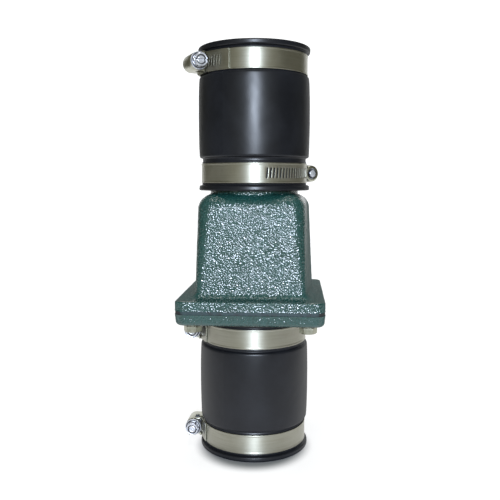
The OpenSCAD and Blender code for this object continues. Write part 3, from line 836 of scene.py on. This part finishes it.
for clamp in clamps:
    points, faces, lay = slotted_strip(TAIL_AZ[clamp.split("_")[0]])
    strip = make_object(clamp + "_strip", put_at(points, clamp), faces, lay=lay, sharp=35)
    solid = strip.modifiers.new("thickness", "SOLIDIFY")
    solid.thickness = BAND_T * MM
    solid.offset = 0.0
    ease_edges(strip, 0.07, 2, 50)
    stand_for(strip, clamp + "_band")

# %% [markdown]
# ## Pressed and headed pieces
# Housings, bolts, nuts and plates have the right form already, but with edges like a knife. A sheet that
# was pressed and a head that was forged have eased edges, and those edges are what catches the light. Each
# piece is copied, its loose triangles are merged into whole faces, and a narrow bevel eases every edge.

# %% Copies with eased edges


def merged_copy(node):
    """A bmesh copy of a construction node, with its loose triangles merged into whole faces."""
    copy = bmesh.new()
    copy.from_mesh(frame["nodes"][node].data)
    bmesh.ops.remove_doubles(copy, verts=copy.verts, dist=1e-6)
    bmesh.ops.dissolve_limit(copy, angle_limit=math.radians(0.5), verts=copy.verts, edges=copy.edges)
    return copy


def cut_away(copy, place, normal):
    """Cut away the side of a plane that its normal points away from, and close the cut."""
    found = bmesh.ops.bisect_plane(copy, geom=copy.verts[:] + copy.edges[:] + copy.faces[:],
                                   plane_co=place, plane_no=normal, clear_inner=True)
    bmesh.ops.holes_fill(copy, edges=[e for e in found["geom_cut"] if isinstance(e, bmesh.types.BMEdge)])


def eased_piece(name, node, width, copy=None, lay=None):
    """A piece made from such a copy, with bevels of that width in millimetres.
    lay gives the two lengths to keep for a point, all in millimetres too."""
    copy = copy or merged_copy(node)
    if lay:
        kept = copy.loops.layers.uv.new("lay")
        for face in copy.faces:
            for corner in face.loops:
                corner[kept].uv = np.array(lay(np.array(corner.vert.co) / MM)) * MM
    mesh = bpy.data.meshes.new(name)
    copy.to_mesh(mesh)
    copy.free()
    mesh.shade_smooth()
    mesh.set_sharp_from_angle(angle=math.radians(28))
    made = placed(name, mesh)
    ease_edges(made, width, 3, 28)
    return stand_for(made, node)


BEVELS = {"gasket": 0.25, "flap": 0.3, "flap_weight": 0.4, "flap_retainer": 0.25, "flap_nut": 0.25,
          "flange_bolts": 0.3}
for node, width in BEVELS.items():
    eased_piece(node + "_piece", node, width)
for clamp in clamps:
    eased_piece(clamp + "_pressing", clamp + "_housing", 0.16)

# %% [markdown]
# ## Clamp screws
# The head comes from the construction model too, but the worm is drawn anew as a true thread. On a grid
# whose columns run round the screw and whose rows run along it, the radius depends only on the phase
# height / pitch - angle / full turn, so the ridge climbs by one pitch in each turn.

# %% Clamp screws
WORM_R, WORM_DEPTH = 4.6, 1.0
WORM_START, WORM_END = 1.2, 2.4
NECK_R = WORM_R - WORM_DEPTH - 0.1
PILOT_R = NECK_R - 0.7


def thread_radius(height, turn, pitch, crest_r, depth):
    """A ridge with sloping flanks: crest and root each take about a third of the pitch."""
    phase = np.mod(height / pitch - turn / (2 * math.pi), 1.0)
    from_crest = np.abs(phase - 0.5) * 2
    return crest_r - depth * np.clip((from_crest - 0.3) / 0.35, 0, 1)


def turned_thread(heights, base_r, thread_from, thread_to, pitch, crest_r, depth, columns=48):
    """Points, faces and end caps of a threaded rod along z, whose radius is base_r off the thread."""
    turn = angles(columns)
    z = heights[:, None] + np.zeros(columns)
    share = np.clip(np.minimum(z - thread_from, thread_to - z) / 0.7, 0, 1)
    root = crest_r - depth
    ridge = thread_radius(z, turn, pitch, crest_r, depth)
    threaded = (z >= thread_from) & (z <= thread_to)
    r = np.where(threaded, root + (ridge - root) * share, base_r[:, None])
    points = carried_round(r, z, turn).reshape(-1, 3)
    faces = grid_faces(len(heights), columns, closed_columns=True)
    last = (len(heights) - 1) * columns
    caps = [range(columns - 1, -1, -1), range(last, last + columns)]
    return points, faces, caps


def worm():
    """The worm, its pilot and its neck, lying along +Y on the clamp's screw axis."""
    half = HOUSING_L / 2
    start, end = WORM_START - half, half - WORM_END
    body = np.arange(start, end + 0.01, 0.18)
    heights = np.concatenate([[-half - 0.8, -half - 0.6, start - 0.02], body, [end + 0.02, half + 0.3]])
    base = np.concatenate([[PILOT_R - 0.25, PILOT_R, PILOT_R], np.full(len(body), NECK_R), [NECK_R, NECK_R]])
    points, faces, caps = turned_thread(heights, base, start, end, SLOT_PITCH, WORM_R, WORM_DEPTH)
    x, y, z = points.T
    return np.stack([SCREW_X + x, z, -y], -1), faces, caps


def clamp_axes(clamp):
    """The middle of a clamp's screw, and its directions outward and forward, to the head."""
    azimuth, z = clamps[clamp]
    outward = np.array([math.cos(azimuth), math.sin(azimuth), 0])
    forward = np.array([-math.sin(azimuth), math.cos(azimuth), 0])
    return outward * SCREW_X + (0, 0, z), outward, forward


def screw_head(clamp):
    """The head and collar of the construction screw, cut off in front of the housing and closed."""
    copy = merged_copy(clamp + "_screw")
    middle, _, forward = clamp_axes(clamp)
    cut_away(copy, (middle + forward * (HOUSING_L / 2 + 0.08)) * MM, forward)
    return copy


for clamp in clamps:
    points, faces, caps = worm()
    off_axis = points[:, [0, 2]] - (SCREW_X, 0)
    turned = make_object(clamp + "_worm", put_at(points, clamp), faces, caps, lay=off_axis)
    stand_for(turned, clamp + "_screw")
    middle, outward, _ = clamp_axes(clamp)
    eased_piece(clamp + "_screw_head", clamp + "_screw", 0.3, screw_head(clamp),
                lambda point: ((point - middle) @ outward, (point - middle)[2]))

# %% [markdown]
# ## The flap's screw and the lock washers
# The flap's screw gets the same thread with a finer pitch. A lock washer is a square wire bent into one
# turn, with its two cut ends a little out of line, as they look after the bolt is drawn up.

# %% Flap screw and lock washers
screw_low, screw_high = box_mm("flap_screw")
SCREW_HEAD_H = 2.5
STEM_R, STEM_TIP_R, STEM_PLAIN = 3.12, 2.7, 6.5
STEM_PITCH, STEM_CREST_R, STEM_DEPTH = 1.27, 3.17, 0.55


def flap_thread():
    """The flap screw's stem: plain under the head, then threaded, with a narrower ring at its tip."""
    low, high = screw_low[2] + SCREW_HEAD_H, screw_high[2]
    start, end = low + STEM_PLAIN, high - 0.4
    body = np.arange(start, end, 0.16)
    heights = np.concatenate([[low - 0.5, start - 0.1], body, [high - 0.3, high]])
    base = np.full(len(heights), STEM_R)
    base[-1] = STEM_TIP_R
    return turned_thread(heights, base, start, end, STEM_PITCH, STEM_CREST_R, STEM_DEPTH, 36)


points, faces, caps = flap_thread()
stand_for(make_object("flap_screw_stem", points, faces, caps), "flap_screw")
head = merged_copy("flap_screw")
cut_away(head, (0, 0, (screw_low[2] + SCREW_HEAD_H + 0.4) * MM), (0, 0, -1))
eased_piece("flap_screw_head", "flap_screw", 0.25, head)

washer_low, washer_high = box_mm("bolt_washers")
WASHER_R, BOLT_HOLE_R = 5.3, 3.25
bolt_xy = np.array([washer_high[0] - WASHER_R, washer_high[1] - WASHER_R])
CUT_HALF = math.radians(9)


def lock_washers():
    """Four turns of square wire, each open by 18 degrees, with its ends about 0.3 mm out of line."""
    steps = 40
    turn = np.linspace(CUT_HALF, 2 * math.pi - CUT_HALF, steps)
    thick = washer_high[2] - washer_low[2]
    lift = 0.15 * (turn / math.pi - 1)
    ring = [(BOLT_HOLE_R, 0.15), (WASHER_R - 0.15, 0.15), (WASHER_R, 0.3), (WASHER_R, thick - 0.3),
            (WASHER_R - 0.15, thick - 0.15), (BOLT_HOLE_R, thick - 0.15)]
    r, h = np.array(ring).T
    one = np.stack([np.cos(turn)[:, None] * r, np.sin(turn)[:, None] * r,
                    washer_low[2] + h + lift[:, None]], -1).reshape(-1, 3)
    faces = grid_faces(steps, len(ring), closed_columns=True)[:, ::-1]
    caps = [range(len(ring)), range(len(one) - 1, len(one) - 1 - len(ring), -1)]
    places = np.array([(sx * bolt_xy[0], sy * bolt_xy[1], 0) for sx in (-1, 1) for sy in (-1, 1)])
    points = (one[None] + places[:, None]).reshape(-1, 3)
    shifts = np.arange(4) * len(one)
    all_faces = (faces[None] + shifts[:, None, None]).reshape(-1, 4)
    all_caps = [[corner + shift for corner in cap] for shift in shifts for cap in caps]
    return make_object("lock_washers", points, all_faces, all_caps, sharp=30)


stand_for(lock_washers(), "bolt_washers")

# %% [markdown]
# ## Paper, lamps and room
# The valve stands on a white paper sweep, which runs from in front of it to behind it and up. The paper is
# as white in the picture as in a reflection. The valve's soft shadow on it is partly cast by the lamps and
# partly painted: round the valve's foot the paper's glow is left out. The room beyond the paper is dim, and
# a little brighter in front, where the main lamp is. So only the valve's lower half mirrors white paper, and
# the sides of the bands mirror the dim room.

# %% Paper sweep
# A painted shadow: inside this ring round the valve's foot, moved a little towards the camera and narrower
# from side to side, the paper's glow is left out, so the shadow there is darker than the lamps alone make
# it.
PAINTED_SHADOW_MIDDLE, PAINTED_SHADOW_SHAPE = (0, -0.006, 0), (0.90, 1, 1)
PAINTED_SHADOW_FROM, PAINTED_SHADOW_TO = 0.034, 0.048
FADE_FROM, FADE_TO, FADE_BY = 0.09, 0.38, 0.7
ROOM_LIGHT, MORE_AHEAD = 0.14, 0.29


def paper(name, near, far):
    """White paper that also glows a little where it is seen directly, in a reflection or through glass.
    The glow makes up for the lamps' uneven light. It is left out in a ring round the valve's foot, which
    paints a darker shadow there; outside that ring it goes from near to far with the distance, and it fades
    in front of what the picture shows."""
    material, shader, at = finish(name, {"Base Color": (0.38, 0.38, 0.38), "Roughness": 0.9,
                                         "Specular IOR Level": 0.1})
    centred = at.node("ShaderNodeMapping", {"vector_type": "TEXTURE"},
                      {"Vector": at, "Location": PAINTED_SHADOW_MIDDLE, "Scale": PAINTED_SHADOW_SHAPE})
    distance = centred.node("ShaderNodeVectorMath", {"operation": "LENGTH"}, {0: centred}, out="Value")
    # The glow is 0 at the foot, which paints the shadow there, and rises to near outside the ring.
    glow = distance.between(PAINTED_SHADOW_FROM, PAINTED_SHADOW_TO) * near + distance.between(0.1, 0.6) * (far - near)
    front = (0 - at.axis(1)).between(FADE_FROM, FADE_TO)
    feed(shader, "Emission Color", glow * (1 - front * FADE_BY))
    nodes, links = material.node_tree.nodes, material.node_tree.links
    path = nodes.new("ShaderNodeLightPath")
    seen = Field(material.node_tree, path.outputs["Is Camera Ray"])
    for ray in ("Is Glossy Ray", "Is Transmission Ray"):
        seen = seen.larger(Field(material.node_tree, path.outputs[ray]))
    links.new(seen.socket, shader.inputs["Emission Strength"])
    return material


def sweep(name, half_width, front, back, bend, height):
    """A sheet that lies flat from front to back, bends up on a quarter circle and ends at that height.
    All its sizes are in metres."""
    a = np.linspace(0, math.pi / 2, 25)
    y = np.concatenate([[front], back - bend + bend * np.sin(a), [back]])
    z = np.concatenate([[0], bend - bend * np.cos(a), [height]])
    x = np.array([-half_width, half_width])[:, None]
    points = np.stack([x + 0 * y, y + 0 * x, z + 0 * x], -1).reshape(-1, 3) / MM
    return make_object(name, points, grid_faces(2, len(y)), sharp=60)


backdrop = sweep("paper_sweep", 0.62, -0.42, 0.75, 0.25, 0.62)
backdrop.data.materials.append(paper("white_paper", 0.80, 0.88))


def softbox(name, place, target, width, height, watts, colour):
    """A rectangular lamp at place, turned towards target."""
    data = bpy.data.lights.new(name, "AREA")
    data.shape = "RECTANGLE"
    data.size, data.size_y = width, height
    data.energy, data.color = watts, colour
    lamp = placed(name, data)
    lamp.location = place
    direction = np.array(target) - np.array(place)
    yaw = math.atan2(-direction[0], direction[1])
    pitch = math.atan2(direction[2], math.hypot(direction[0], direction[1]))
    lamp.rotation_euler = (math.pi / 2 + pitch, 0, yaw)


middle = (0, 0, 0.14)
softbox("key", (0.13, -1.6, 0.475), middle, 0.20, 0.40, 29, (0.74, 0.84, 1.0))
softbox("top", (0.0, 0.05, 1.4), (0, 0.05, 0), 0.5, 0.5, 6, (1.0, 0.99, 0.96))
world = bpy.data.worlds.new("room")
world.use_nodes = True
world.node_tree.nodes["Background"].inputs["Color"].default_value = (1.0, 0.97, 0.72, 1)
towards = Field(world.node_tree, world.node_tree.nodes.new("ShaderNodeTexCoord").outputs["Generated"])
# Ahead is -Y. The room's light grows from about 70 degrees off that direction to 23 degrees off it.
ahead = (0 - towards.axis(1)).between(0.35, 0.92)
feed(world.node_tree.nodes["Background"], "Strength", ahead * MORE_AHEAD + ROOM_LIGHT)
bpy.context.scene.world = world
